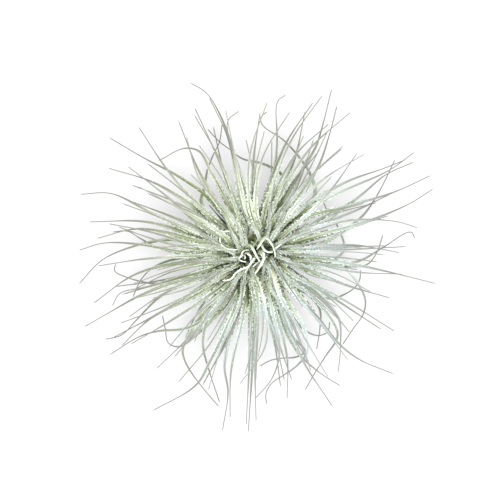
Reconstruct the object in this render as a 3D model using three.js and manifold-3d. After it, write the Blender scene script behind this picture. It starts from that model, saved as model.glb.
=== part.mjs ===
// An air plant with two crowns: a rosette of narrow, channelled leaves that arch out and taper to threads,
// on a short woody stem with a few wiry roots. It rests on the flat cut under the stem.
// Millimetres, +Z up. The origin is the centre of that flat cut.
// Places on a leaf are given as seen from above: azimuth in degrees from +X, and reach from the axis in mm.

import * as THREE from 'three';
import { mergeVertices } from 'three/addons/utils/BufferGeometryUtils.js';
import Module from 'manifold-3d';

const wasm = await Module();
wasm.setup();

// ---------- driving dimensions ----------

// A blade: widths across, channel depth and midrib thickness as shares of the width.
const BLADE = { width: 4.1, sheathExtra: 1.6, sheathShare: 0.12, taper: 1.1, tipWidth: 0.7,
  channel: 0.22, thickness: 0.24, thinnest: 0.6, ringsPerStretch: 2 };

const STEM = { footRadius: 6, footHeight: 3, radius: 3.2, height: 19.8, forkHeight: 1.2, stalkRadius: 1.5,
  stalkTop: 27, sides: 16 };
const ROOT = { radius: 0.55, sides: 4, ringsPerStretch: 2, bottom: 0.1 };
const GAP = 0.3; // between the stem and the sheaths round it, and between one whorl and the next

// The two growing points, each a little off the stem's axis.
const CROWN_OFFSET = 4.15;
const CROWN_DIRECTION = 23.5;
const CROWN_COLLAR = { inner: STEM.stalkRadius + GAP, outer: 3.8, bottom: 21.3, top: 26 };

// Each whorl of leaves: the collar of sheaths that it grows from, where its leaves start, how high they pass
// at four distances from the axis, how far they spread out in height, and their width beside the widest.
const HEIGHT_STATIONS = [8, 30, 55, 80];
const WHORLS = {
  lower: { collar: { bottom: 4.3, top: 9, outer: 8 }, rootRadius: 5.8, rootHeight: 6.8,
    heights: [7.5, 12.8, 11.4, 9], spread: 11, width: 0.82, color: 0x8d9a72 },
  outer: { collar: { bottom: 9.3, top: 14.6, outer: 7.6 }, rootRadius: 5.6, rootHeight: 11.6,
    heights: [12.6, 23.5, 27.4, 27], spread: 12, width: 1, color: 0x9fab86 },
  middle: { collar: { bottom: 14.9, top: 19.5, outer: 7 }, rootRadius: 5.2, rootHeight: 16.4,
    heights: [18, 35.5, 43.2, 44], spread: 11, width: 1, color: 0xaeb898 },
  crown: { collar: CROWN_COLLAR, rootRadius: 2.85, rootHeight: 23,
    heights: [25.5, 49.5, 60, 63], spread: 13, width: 0.9, color: 0xbcc6a8 },
  inner: { aboutCrown: true, rootRadius: 2.9, rootHeight: 24,
    heights: [35, 62, 68, 68], spread: 6, width: 0.72 },
};
const SPREAD_REACH = 50; // the distance from the axis at which they have spread out in height by that much

// How the whorls rise and dip round the plant, all of them alike, so that none runs into the next. The waves are
// how often each goes round, the azimuth of its crest and its share. Low leaves move less than high ones.
const SWELL = { height: 10, start: 18, reach: 75, fullAt: 40, sunk: 0.3,
  waves: [[1, 150, 0.35], [2, 40, 0.45], [3, 200, 0.35]] };

// ---------- leaves that can be told apart from above ----------
// Each row: lift in the whorl from 0 to 1, then the points that the leaf passes over, as [azimuth, reach].

const LOWER_LEAVES = [
  [0.8, [350, 25], [356.5, 43], [3, 53], [8.5, 66], [6, 67.5]],
  [0.2, [352, 25], [353, 40], [355, 47], [1, 51], [9.5, 54.5]],
  [0.6, [8, 25], [19, 46], [25.5, 56], [34.5, 71.5]],
  [0.4, [348, 20], [2, 37], [20, 36.5], [33, 35.5], [44, 38]],
  [0.3, [38, 22], [46, 36], [56, 41], [66, 45], [77, 50], [87, 54.7], [88, 58], [85.6, 60.7]],
  [1.0, [56, 25], [54.5, 44], [58.5, 59], [61.5, 71.5]],
  [0.3, [62, 20], [71, 35], [85, 38.5], [98, 41], [104, 46], [108, 50.5], [111, 57]],
  [0.5, [140, 20], [137, 31.5], [127, 36], [120, 41], [113, 46], [108, 50], [104.5, 57]],
  [0.9, [129, 25], [131, 36], [135, 48], [139, 62], [141.4, 80]],
  [0.6, [179, 25], [176.4, 40], [172, 49], [169.5, 55], [171, 61.5]],
  [0.8, [165, 25], [171.5, 41], [177, 54], [182, 65], [189.6, 76]],
  [0.5, [203, 25], [196, 44], [190, 55], [186.4, 60], [183.6, 59.3]],
  [0.2, [180, 25], [186, 42], [191.5, 49], [199, 55]],
  [0.7, [200, 25], [203.5, 44], [208.5, 57], [210.8, 66], [209.2, 73]],
  [0.9, [236, 25], [227, 42], [218, 52], [215, 60], [214.3, 75.3]],
  [0.4, [218, 22], [224, 33], [227, 40], [230, 46.5]],
  [0.3, [238, 25], [234, 40], [230, 50.5], [225, 52.4], [219.5, 49.5], [213, 47]],
  [0.5, [226, 25], [229, 40], [232, 50], [235, 53], [241, 56.5], [250, 61.5], [256.4, 66]],
  [0.8, [228, 22], [234, 36], [239.5, 44], [247, 51.5], [256.4, 64.4]],
  [0.6, [304, 22], [303, 38], [298, 46], [291, 49.5], [283, 52], [277, 54.5], [274, 59], [274.2, 63.2]],
  [0.3, [291, 22], [293.5, 37], [297, 45.3], [292, 46.3], [283, 44.8], [277.5, 45], [272, 47]],
  [0.7, [326, 22], [321, 38], [315.7, 48.3], [304, 52], [296, 56], [289.7, 61]],
  [0.4, [322, 22], [329, 36], [338, 42], [343, 44.3], [347.5, 45], [352, 44.5]],
  [0.6, [357, 22], [351, 38], [344, 45], [337.5, 50], [331, 51.7], [323, 51.5], [314, 52.6]],
  [0.2, [300, 22], [302, 36], [307.4, 42.8], [313, 44.3], [318, 42]],
  [0.5, [325, 22], [320, 35], [310.5, 41.5], [302.7, 47.4]],
];

const OUTER_LEAVES = [
  [0.5, [357, 25], [353.5, 50], [351, 76.5]],
  [0.6, [18, 25], [17, 50], [18.5, 68], [20.5, 79.5]],
  [0.4, [38, 25], [28, 44], [24.5, 64], [24.5, 81]],
  [0.1, [27, 23], [24, 45], [24.5, 66]],
  [0.2, [26, 28], [29.5, 50], [31.7, 64], [30.5, 77]],
  [0.8, [46, 27], [38.5, 50], [34.5, 63], [32.5, 74]],
  [0.5, [44, 25], [36, 47], [32.5, 66], [33, 79.5]],
  [0.4, [63, 27], [61, 52], [62.5, 60], [65.5, 77]],
  [0.7, [101, 26], [103, 50], [104.5, 61], [107, 71], [111, 77.5]],
  [0.3, [118.5, 25], [118.6, 40], [118.7, 49.5], [124, 54], [136.5, 57]],
  [0.8, [141, 25], [136.5, 50], [132.5, 73]],
  [0.3, [141.5, 26], [144.5, 52], [149.5, 72]],
  [0.6, [161, 25], [158, 48], [157, 66], [161, 78.2]],
  [0.2, [163, 25], [163.2, 48], [168.8, 71.5]],
  [0.1, [179.5, 25], [174.8, 48], [175.5, 64], [178.5, 74.5]],
  [0.5, [185, 25], [189, 51], [196.5, 71]],
  [0.6, [198.5, 25], [199, 50], [201.5, 67], [202.7, 78]],
  [0.3, [215, 25], [211, 51], [214, 68]],
  [0.6, [248, 25], [246.6, 48], [245.3, 60], [236.3, 78.8]],
  [0.3, [251, 25], [254, 48], [258.5, 59], [259.2, 75.7]],
  [0.7, [269, 25], [268, 50], [267.5, 74.4]],
  [0.2, [292, 25], [293, 44], [298.5, 56.5], [302.8, 65.5]],
  [0.6, [317, 25], [313, 49], [314.5, 61], [319.2, 76.6]],
];

const MIDDLE_LEAVES = [
  [0.4, [8, 22], [5.5, 42], [1, 60]],
  [0.7, [26, 25], [19, 45], [13.5, 60], [9.5, 68.5]],
  [0.4, [69, 25], [63, 50], [56.5, 71.5]],
  [0.2, [73.5, 22], [68.5, 45], [61, 62.5]],
  [0.8, [78, 25], [73, 50], [67.5, 72]],
  [0.3, [80.5, 24], [75, 48], [69.5, 68]],
  [0.1, [75, 25], [79.3, 48], [82, 64.5], [79.5, 68]],
  [0.6, [99, 22], [102.5, 44], [102, 57], [96.8, 60.5]],
  [0.3, [105.5, 24], [103.5, 50], [106.5, 68.5]],
  [0.7, [152, 24], [146.5, 46], [145.3, 65]],
  [0.2, [166, 24], [167.3, 50], [174, 66.7]],
  [0.6, [172, 22], [167.7, 45], [168, 62.7]],
  [0.8, [180.5, 25], [182.2, 48], [184, 66]],
  [0.3, [197, 24], [196.3, 48], [195.8, 59], [199.5, 63.5]],
  [0.6, [203, 22], [203, 43], [206, 59]],
  [0.5, [221, 24], [217.6, 45], [215.4, 64]],
  [0.7, [233, 22], [230.8, 44], [228.8, 63]],
  [0.4, [258, 25], [258, 50], [261, 69]],
  [0.7, [265.5, 25], [266.6, 50], [266.7, 71]],
  [0.3, [271, 24], [269.5, 48], [270, 69.5]],
  [0.5, [287, 22], [283.7, 42], [277.5, 52], [269.8, 60]],
  [0.2, [289.5, 22], [286.8, 45], [282.2, 61.5]],
  [0.5, [331, 22], [323, 43], [314, 51], [305, 60]],
];

const LEFT_CROWN_LEAVES = [
  [0.5, [127.5, 20], [126.5, 40], [120.5, 57]],
  [0.9, [148, 18], [148.7, 38], [149.8, 56.5]],
  [0.3, [202, 18], [201.5, 38], [199.5, 54.5]],
  [0.5, [250.5, 20], [249.3, 41], [250.5, 59.3]],
  [0.8, [272, 18], [271, 36], [270, 52]],
  [0.2, [279, 18], [276, 38], [263, 54]],
];

const RIGHT_CROWN_LEAVES = [
  [0.5, [52, 20], [48.5, 42], [43, 61.5]],
  [0.3, [57.5, 20], [54.8, 42], [51.5, 58]],
  [0.4, [91, 20], [86, 41], [76.8, 61]],
  [0.6, [97, 22], [93, 43], [85.8, 63.6]],
  [0.2, [101.5, 20], [102, 42], [101.8, 61.4]],
  [0.9, [332, 17], [330.5, 33], [325.9, 49]],
  [0.3, [315, 20], [313, 40], [311.2, 58]],
  [0.6, [300.5, 20], [300.3, 40], [300.5, 59]],
];

// The young leaves in each crown's heart, short and curled at the tips: the points that each runs through.
const HEART = { baseRadius: 2.5, baseTop: 30.5, width: 2 };
const LEFT_HEART_LEAVES = [
  [[-4.6, 0.4, 28], [-6.6, 4.4, 37], [-10.6, 9.8, 46], [-14, 9.2, 48.5], [-14.4, 5.2, 49], [-11, 2.6, 48.5],
    [-7.4, 2.4, 48]],
  [[-4.8, -1.6, 28], [-6.2, -3.6, 38], [-9.4, -7.6, 45], [-14.2, -10.6, 47]],
  [[-4, -1, 28], [-5.6, 0.8, 36], [-6.8, 1.2, 41], [-7.6, -1, 43.5], [-5.8, -2.6, 44], [-3.8, -2, 43]],
  [[-3.2, -0.6, 28], [-3, 1.2, 36], [-4.2, 2.6, 41], [-5, 0.2, 43], [-3.6, -1.2, 43.5]],
  [[-3.4, -1.6, 28], [-3.4, -3.6, 36], [-2, -5, 41], [-3.8, -7.2, 43]],
];
const RIGHT_HEART_LEAVES = [
  [[3, 2.6, 28], [1.2, 4.6, 36], [0.4, 4, 42], [0.8, 0.4, 46], [2.4, -3.4, 48], [0.6, -7.6, 48.5]],
  [[4.2, 3, 28], [4, 6, 37], [5.2, 7.4, 42], [7.2, 5.4, 44.5], [8, 1.6, 44.5], [7.6, -0.8, 43]],
  [[4.6, 2, 28], [6.2, 3.2, 36], [8.2, 3.6, 41], [10.8, 4.4, 44]],
  [[3.8, 1.6, 28], [4.4, 0, 36], [3.2, -1.4, 42], [0.2, -3.6, 45], [-3.6, -6.2, 47.5]],
  [[3.4, 3, 28], [2.8, 5, 35], [4.4, 5.4, 39.5], [5.4, 3.4, 41], [4.2, 2.2, 41]],
];

// Leaves that fill the gaps between those, by the golden angle: how many, their azimuths and their reach.
const GOLDEN_ANGLE = 137.508;
const FILL = {
  lower: { count: 5, from: 60, sweep: 360, reach: [52, 66], seed: 11 },
  outer: { count: 7, from: 20, sweep: 360, reach: [58, 72], seed: 23 },
  middle: { count: 9, from: 40, sweep: 360, reach: [50, 62], seed: 37 },
  left: { count: 8, from: 125, sweep: 155, reach: [36, 54], seed: 41 },
  right: { count: 8, from: -56, sweep: 157, reach: [36, 54], seed: 53 },
  leftInner: { count: 6, from: 130, sweep: 145, reach: [19, 34], seed: 61 },
  rightInner: { count: 6, from: -50, sweep: 145, reach: [19, 34], seed: 73 },
};

const WOOD = { color: 0x6d5a44, roughness: 0.9 };
const LEAF_ROUGHNESS = 0.75;
const HEART_COLOR = 0xd4dabf;

// ---------- small helpers ----------

const radians = THREE.MathUtils.degToRad;

// Repeatable random numbers from 0 to 1.
function randomFrom(seed) {
  let state = seed;
  return () => {
    state = (state * 16807) % 2147483647;
    return state / 2147483647;
  };
}

function polar(azimuth, reach, height = 0) {
  return new THREE.Vector3(reach * Math.cos(radians(azimuth)), reach * Math.sin(radians(azimuth)), height);
}

// The height of a whorl's middle leaf at a distance from the axis: the cubic through its four heights.
function heightAt(whorl, distance) {
  let height = 0;
  whorl.heights.forEach((value, i) => {
    let share = value;
    HEIGHT_STATIONS.forEach((station, j) => {
      if (i !== j) share *= (distance - station) / (HEIGHT_STATIONS[i] - station);
    });
    height += share;
  });
  return height;
}

function solidOf(geometry) {
  geometry.deleteAttribute('normal');
  geometry.deleteAttribute('uv');
  const merged = mergeVertices(geometry, 1e-4);
  return new wasm.Manifold(new wasm.Mesh({ numProp: 3,
    vertProperties: merged.attributes.position.array, triVerts: new Uint32Array(merged.index.array) }));
}

function meshOf(name, solid, material) {
  const { numProp, vertProperties, triVerts } = solid.getMesh();
  const geometry = new THREE.BufferGeometry();
  geometry.setAttribute('position', new THREE.BufferAttribute(vertProperties, numProp));
  geometry.setIndex(new THREE.BufferAttribute(triVerts, 1));
  geometry.computeVertexNormals();
  const mesh = new THREE.Mesh(geometry, new THREE.MeshStandardMaterial({ metalness: 0, ...material }));
  mesh.name = name;
  return mesh;
}

// The union of some solids, with any sealed hollow filled and any loose scrap dropped.
function join(solids) {
  const bodies = solids.reduce((whole, solid) => whole.add(solid)).decompose();
  return bodies.reduce((largest, body) => (body.volume() > largest.volume() ? body : largest));
}

// A solid of revolution about +Z, from a closed profile of [radius, height] points.
function turned(profile, centre = new THREE.Vector3()) {
  const points = profile.map(([radius, height]) => new THREE.Vector2(radius, height));
  const geometry = new THREE.LatheGeometry(points, STEM.sides);
  geometry.rotateX(Math.PI / 2);
  geometry.translate(centre.x, centre.y, 0);
  return solidOf(geometry);
}

// ---------- sweeping a section along a path ----------

// Frames along a smooth path through some points, with a fixed number of rings from each point to the next.
// They are carried on from a first sideways direction, so that they never flip.
function framesAlong(points, sideways, ringsPerStretch) {
  const steps = (points.length - 1) * ringsPerStretch;
  const places = new THREE.CatmullRomCurve3(points).getPoints(steps);
  const reached = [0];
  places.slice(1).forEach((place, i) => reached.push(reached[i] + place.distanceTo(places[i])));
  let side = sideways.clone();
  return places.map((origin, i) => {
    const along = new THREE.Vector3().subVectors(places[Math.min(i + 1, steps)], places[Math.max(i - 1, 0)]);
    along.normalize();
    side = side.clone().addScaledVector(along, -side.dot(along)).normalize();
    const up = new THREE.Vector3().crossVectors(along, side);
    return { origin, side, up, share: reached[i] / reached[steps] };
  });
}

// Skins the rings that sectionAt gives for all frames but the last, and closes them to a point at the last.
// Diagonals run alike on both faces of a blade, from its edges to its midrib.
function swept(frames, sectionAt) {
  const tip = frames[frames.length - 1].origin;
  const ringAt = ({ origin, side, up, share }) => sectionAt(share).map(([across, above]) =>
    origin.clone().addScaledVector(side, across).addScaledVector(up, above));
  const rings = frames.slice(0, -1).map(ringAt);
  const sides = rings[0].length;
  const position = [...rings.flat(), tip].flatMap((point) => point.toArray());
  const index = [];
  for (let k = 1; k < sides - 1; k += 1) index.push(sides - 1, k, k - 1);
  rings.slice(1).forEach((ring, i) => {
    for (let k = 0; k < sides; k += 1) {
      const a = i * sides + k;
      const b = i * sides + ((k + 1) % sides);
      const [c, d] = [b + sides, a + sides];
      index.push(...(k % 2 === 0 ? [a, b, c, a, c, d] : [a, b, d, b, c, d]));
    }
  });
  const last = (rings.length - 1) * sides;
  for (let k = 0; k < sides; k += 1) index.push(last + k, last + ((k + 1) % sides), rings.length * sides);
  const geometry = new THREE.BufferGeometry();
  geometry.setAttribute('position', new THREE.Float32BufferAttribute(position, 3));
  geometry.setIndex(index);
  return solidOf(geometry);
}

// A blade's section: a shallow V, open towards the plant's middle, with its midrib thickest.
function bladeSection(share, width) {
  const tapered = width * (1 - share) ** BLADE.taper;
  const sheath = BLADE.sheathExtra * Math.max(0, 1 - share / BLADE.sheathShare) ** 2;
  const across = Math.max(BLADE.tipWidth, tapered + sheath * (width / BLADE.width));
  const raised = BLADE.channel * across;
  const thick = Math.max(BLADE.thinnest, BLADE.thickness * across);
  return [[-across / 2, raised], [0, -thick / 2], [across / 2, raised], [0, thick / 2]];
}

function roundSection(radius, sides) {
  return Array.from({ length: sides }, (_, k) => {
    const turn = (2 * Math.PI * k) / sides;
    return [radius * Math.cos(turn), radius * Math.sin(turn)];
  });
}

// ---------- leaves ----------

// How far a place on a leaf rises with its side of the plant.
function swellAt({ x, y, z }) {
  const opened = Math.max(0, (Math.hypot(x, y) - SWELL.start) / (SWELL.reach - SWELL.start));
  const waves = SWELL.waves.map(([turns, crest, share]) =>
    share * Math.cos(turns * (Math.atan2(y, x) - radians(crest))));
  const raised = waves.reduce((sum, wave) => sum + wave) - SWELL.sunk;
  return SWELL.height * raised * opened ** 1.5 * Math.min(1, z / SWELL.fullAt);
}

// One leaf of a whorl, over the points of its row, from a root in the sheaths round the axis at centre.
// Its points are taken about the plant's own axis, or for the young inner leaves about their crown's.
function whorlLeaf(whorl, [lift, ...over], centre) {
  const [firstAzimuth] = over[0];
  const about = whorl.aboutCrown ? centre : new THREE.Vector3();
  const root = polar(firstAzimuth, whorl.rootRadius, whorl.rootHeight).add(centre);
  const path = [root, ...over.map(([azimuth, reach]) => {
    const opened = Math.min(1, reach / SPREAD_REACH);
    const place = polar(azimuth, reach, heightAt(whorl, reach) + (lift - 0.5) * whorl.spread * opened).add(about);
    return place.setZ(place.z + swellAt(place));
  })];
  const frames = framesAlong(path, polar(firstAzimuth + 90, 1), BLADE.ringsPerStretch);
  return swept(frames, (share) => bladeSection(share, BLADE.width * whorl.width));
}

function heartLeaf(points) {
  const path = points.map((point) => new THREE.Vector3(...point));
  const outward = Math.atan2(path[1].y - path[0].y, path[1].x - path[0].x);
  const sideways = new THREE.Vector3(-Math.sin(outward), Math.cos(outward), 0);
  const frames = framesAlong(path, sideways, BLADE.ringsPerStretch);
  return swept(frames, (share) => bladeSection(share, HEART.width));
}

// Rows for the leaves between those listed, spread by the golden angle over part of a turn.
function fillRows({ count, from, sweep, reach, seed }) {
  const random = randomFrom(seed);
  return Array.from({ length: count }, (_, i) => {
    const turn = ((i * GOLDEN_ANGLE) % 360) / 360;
    const azimuth = from + turn * sweep + 6 * (random() - 0.5);
    const length = reach[0] + (reach[1] - reach[0]) * random();
    const bow = 8 * (random() - 0.5);
    const sway = 10 * (random() - 0.5);
    const tipAzimuth = azimuth + bow + sway;
    return [random(), [azimuth, length / 3], [azimuth + bow, (2 * length) / 3], [tipAzimuth, length]];
  });
}

function collarOf({ bottom, top, inner = STEM.radius + GAP, outer }, centre) {
  return turned([[inner, bottom], [outer * 0.92, bottom], [outer, (bottom + top) / 2], [outer * 0.86, top],
    [inner, top], [inner, bottom]], centre);
}

function whorlOf(name, whorl, rows, centre = new THREE.Vector3(), innerRows = []) {
  const leaves = rows.map((row) => whorlLeaf(whorl, row, centre));
  const young = innerRows.map((row) => whorlLeaf(WHORLS.inner, row, centre));
  const solid = join([collarOf(whorl.collar, centre), ...leaves, ...young]);
  return meshOf(name, solid, { color: whorl.color, roughness: LEAF_ROUGHNESS });
}

function heartOf(name, rows, centre) {
  const { baseRadius, baseTop } = HEART;
  const bottom = STEM.stalkTop + GAP;
  const base = turned([[0, bottom], [baseRadius * 0.8, bottom], [baseRadius, bottom + 1],
    [baseRadius * 0.6, baseTop], [0, baseTop + 1]], centre);
  const solid = join([base, ...rows.map(heartLeaf)]);
  return meshOf(name, solid, { color: HEART_COLOR, roughness: LEAF_ROUGHNESS });
}

// ---------- stem and roots ----------

// Wiry roots, cut short, that leave the foot and lie along the surface: azimuth, length and sideways bend.
const ROOTS = [[15, 11, 3], [70, 8, -3], [118, 13, 4], [172, 9, -4], [222, 12, 3], [275, 10, -2],
  [330, 9, 4]];

function rootAt([azimuth, length, bend]) {
  const lying = ROOT.radius + ROOT.bottom;
  const end = STEM.footRadius + length;
  const middle = polar(azimuth, STEM.footRadius + length * 0.5, lying + 0.5)
    .addScaledVector(polar(azimuth + 90, 1), bend * 0.6);
  const tip = polar(azimuth, end, lying).addScaledVector(polar(azimuth + 90, 1), bend);
  const inside = polar(azimuth, STEM.footRadius - 2.5, 2);
  const path = [inside, polar(azimuth, STEM.footRadius + 0.8, 1.7), middle, tip];
  const frames = framesAlong(path, polar(azimuth + 90, 1), ROOT.ringsPerStretch);
  return swept(frames, (share) => roundSection(ROOT.radius * (1 - 0.45 * share), ROOT.sides));
}

// The post, with a flat arm to each side on top of it, and a stalk on each arm that a crown grows round.
function stemOf(crowns) {
  const { footRadius, footHeight, radius, height, forkHeight, stalkRadius, stalkTop } = STEM;
  const top = height + forkHeight;
  const post = turned([[0, 0], [footRadius, 0], [footRadius, footHeight * 0.5],
    [footRadius * 0.75, footHeight], [radius, footHeight + 1], [radius, top - forkHeight * 0.4],
    [radius * 0.6, top], [0, top]]);
  const stalks = crowns.map((crown) => turned([[0, height], [stalkRadius * 1.3, height],
    [stalkRadius * 1.3, top], [stalkRadius, top], [stalkRadius, stalkTop - 0.5], [0, stalkTop]], crown));
  return meshOf('stem_with_roots', join([post, ...stalks, ...ROOTS.map(rootAt)]), WOOD);
}

// ---------- the plant ----------

const rightCrown = polar(CROWN_DIRECTION, CROWN_OFFSET);
const leftCrown = rightCrown.clone().negate();

const plant = new THREE.Group();
plant.add(
  stemOf([leftCrown, rightCrown]),
  whorlOf('lower_leaves', WHORLS.lower, [...LOWER_LEAVES, ...fillRows(FILL.lower)]),
  whorlOf('outer_leaves', WHORLS.outer, [...OUTER_LEAVES, ...fillRows(FILL.outer)]),
  whorlOf('middle_leaves', WHORLS.middle, [...MIDDLE_LEAVES, ...fillRows(FILL.middle)]),
  whorlOf('left_crown_leaves', WHORLS.crown, [...LEFT_CROWN_LEAVES, ...fillRows(FILL.left)], leftCrown,
    fillRows(FILL.leftInner)),
  whorlOf('right_crown_leaves', WHORLS.crown, [...RIGHT_CROWN_LEAVES, ...fillRows(FILL.right)], rightCrown,
    fillRows(FILL.rightInner)),
  heartOf('left_heart_leaves', LEFT_HEART_LEAVES, leftCrown),
  heartOf('right_heart_leaves', RIGHT_HEART_LEAVES, rightCrown),
);

export default plant;
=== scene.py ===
# A two-crowned air plant: silvery channelled leaves with a coat of fine scales, on a short rooted stem.
# Lengths in the dictionaries are millimetres unless a note says otherwise.
import random
from math import atan2, cos, pi, radians, sin

import bmesh
import bpy
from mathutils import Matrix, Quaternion, Vector, noise
from mathutils.bvhtree import BVHTree


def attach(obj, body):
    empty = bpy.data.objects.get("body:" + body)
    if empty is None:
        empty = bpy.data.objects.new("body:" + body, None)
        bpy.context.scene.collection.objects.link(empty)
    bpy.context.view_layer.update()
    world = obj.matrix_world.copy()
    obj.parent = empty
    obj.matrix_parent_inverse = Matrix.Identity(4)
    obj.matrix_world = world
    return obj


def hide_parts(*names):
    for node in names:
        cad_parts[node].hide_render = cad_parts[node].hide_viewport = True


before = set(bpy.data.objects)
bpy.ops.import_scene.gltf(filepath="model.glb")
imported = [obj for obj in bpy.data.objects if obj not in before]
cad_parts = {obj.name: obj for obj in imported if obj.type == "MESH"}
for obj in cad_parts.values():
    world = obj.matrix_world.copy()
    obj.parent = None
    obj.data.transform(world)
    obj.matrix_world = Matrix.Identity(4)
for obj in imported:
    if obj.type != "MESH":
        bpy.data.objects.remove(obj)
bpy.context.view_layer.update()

mm = 0.001
print("frame loaded,", len(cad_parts), "nodes")


# The camera looks straight down through a long lens.
view = {
    "centre": (-2.5, 2.1, 25),  # what the middle of the picture looks at
    "distance": 3000,
    "pictureWidth": 210,  # how much the picture takes in at that height
    "sensor": 36,
    "farthest": 20,  # metres
}


def makeCamera():
    data = bpy.data.cameras.new("camera")
    data.sensor_width = view["sensor"]
    data.lens = view["sensor"] * view["distance"] / view["pictureWidth"]
    data.clip_end = view["farthest"]
    camera = bpy.data.objects.new("camera", data)
    bpy.context.scene.collection.objects.link(camera)
    x, y, z = view["centre"]
    camera.location = Vector((x, y, z + view["distance"])) * mm
    bpy.context.scene.camera = camera


makeCamera()
print("camera set")


# Where the leaves grow from, and how they arch.
crowns = {
    "offset": 4.15,  # of each growing point from the stem's axis
    "direction": 23.5,  # degrees from +X to the right one
}

heightStations = [8, 30, 55, 80]  # distances from the axis that the heights below belong to
spreadReach = 50  # from this distance on, leaves have their whorl's full spread
goldenAngle = 137.508

# collar: bottom, top and radius of its ring of sheaths. spread: between its highest leaves and its lowest.
# width: beside a full blade's. aboutCrown: its leaves' points are measured from their crown.
whorls = {
    "lower": {"collar": (4.3, 9, 8), "rootRadius": 5.8, "rootHeight": 6.8,
              "heights": [7.5, 12.8, 11.4, 9], "spread": 11, "width": 0.82},
    "outer": {"collar": (9.3, 14.6, 7.6), "rootRadius": 5.6, "rootHeight": 11.6,
              "heights": [12.6, 23.5, 27.4, 27], "spread": 12, "width": 1},
    "middle": {"collar": (14.9, 19.5, 7), "rootRadius": 5.2, "rootHeight": 16.4,
               "heights": [18, 35.5, 43.2, 44], "spread": 11, "width": 1},
    "crown": {"collar": (21.3, 26, 3.8), "rootRadius": 2.85, "rootHeight": 23,
              "heights": [25.5, 49.5, 60, 63], "spread": 13, "width": 0.9},
    "inner": {"collar": (22, 26.5, 2.5), "rootRadius": 2.9, "rootHeight": 24,
              "heights": [35, 62, 68, 68], "spread": 6, "width": 0.9, "aboutCrown": True},
    "innermost": {"collar": (23.5, 28, 1.5), "rootRadius": 1.7, "rootHeight": 27,
                  "heights": [44, 62, 66, 66], "spread": 5, "width": 0.75, "aboutCrown": True},
}

# How the whorls rise and dip round the plant, all of them alike, so that none runs into the next.
swell = {
    "height": 10,
    "start": 18,
    "reach": 75,
    "fullAt": 40,  # low leaves move less than high ones
    "sunk": 0.3,
    "curve": 1.5,  # above 1 it starts slowly
    "waves": [(1, 150, 0.35), (2, 40, 0.45), (3, 200, 0.35)],  # how often round, azimuth of its crest, share
}

# Each leaf: lift in its whorl from 0 to 1, then the points that it passes over, as (azimuth, reach).
lowerLeaves = [
    [0.8, (350, 25), (356.5, 43), (3, 53), (8.5, 66), (6, 67.5)],
    [0.2, (352, 25), (353, 40), (355, 47), (1, 51), (9.5, 54.5)],
    [0.6, (8, 25), (19, 46), (25.5, 56), (34.5, 71.5)],
    [0.4, (348, 20), (2, 37), (20, 36.5), (33, 35.5), (44, 38)],
    [0.3, (38, 22), (46, 36), (56, 41), (66, 45), (77, 50), (87, 54.7), (88, 58), (85.6, 60.7)],
    [1.0, (56, 25), (54.5, 44), (58.5, 59), (61.5, 71.5)],
    [0.3, (62, 20), (71, 35), (85, 38.5), (98, 41), (104, 46), (108, 50.5), (111, 57)],
    [0.5, (140, 20), (137, 31.5), (127, 36), (120, 41), (113, 46), (108, 50), (104.5, 57)],
    [0.9, (129, 25), (131, 36), (135, 48), (139, 62), (141.4, 80)],
    [0.6, (179, 25), (176.4, 40), (172, 49), (169.5, 55), (171, 61.5)],
    [0.8, (165, 25), (171.5, 41), (177, 54), (182, 65), (189.6, 76)],
    [0.5, (203, 25), (196, 44), (190, 55), (186.4, 60), (183.6, 59.3)],
    [0.2, (180, 25), (186, 42), (191.5, 49), (199, 55)],
    [0.7, (200, 25), (203.5, 44), (208.5, 57), (210.8, 66), (209.2, 73)],
    [0.9, (236, 25), (227, 42), (218, 52), (215, 60), (214.3, 75.3)],
    [0.4, (218, 22), (224, 33), (227, 40), (230, 46.5)],
    [0.3, (238, 25), (234, 40), (230, 50.5), (225, 52.4), (219.5, 49.5), (213, 47)],
    [0.5, (226, 25), (229, 40), (232, 50), (235, 53), (241, 56.5), (250, 61.5), (256.4, 66)],
    [0.8, (228, 22), (234, 36), (239.5, 44), (247, 51.5), (256.4, 64.4)],
    [0.6, (304, 22), (303, 38), (298, 46), (291, 49.5), (283, 52), (277, 54.5), (274, 59), (274.2, 63.2)],
    [0.3, (291, 22), (293.5, 37), (297, 45.3), (292, 46.3), (283, 44.8), (277.5, 45), (272, 47)],
    [0.7, (326, 22), (321, 38), (315.7, 48.3), (304, 52), (296, 56), (289.7, 61)],
    [0.4, (322, 22), (329, 36), (338, 42), (343, 44.3), (347.5, 45), (352, 44.5)],
    [0.6, (357, 22), (351, 38), (344, 45), (337.5, 50), (331, 51.7), (323, 51.5), (314, 52.6)],
    [0.2, (300, 22), (302, 36), (307.4, 42.8), (313, 44.3), (318, 42)],
    [0.5, (325, 22), (320, 35), (310.5, 41.5), (302.7, 47.4)],
]

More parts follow.
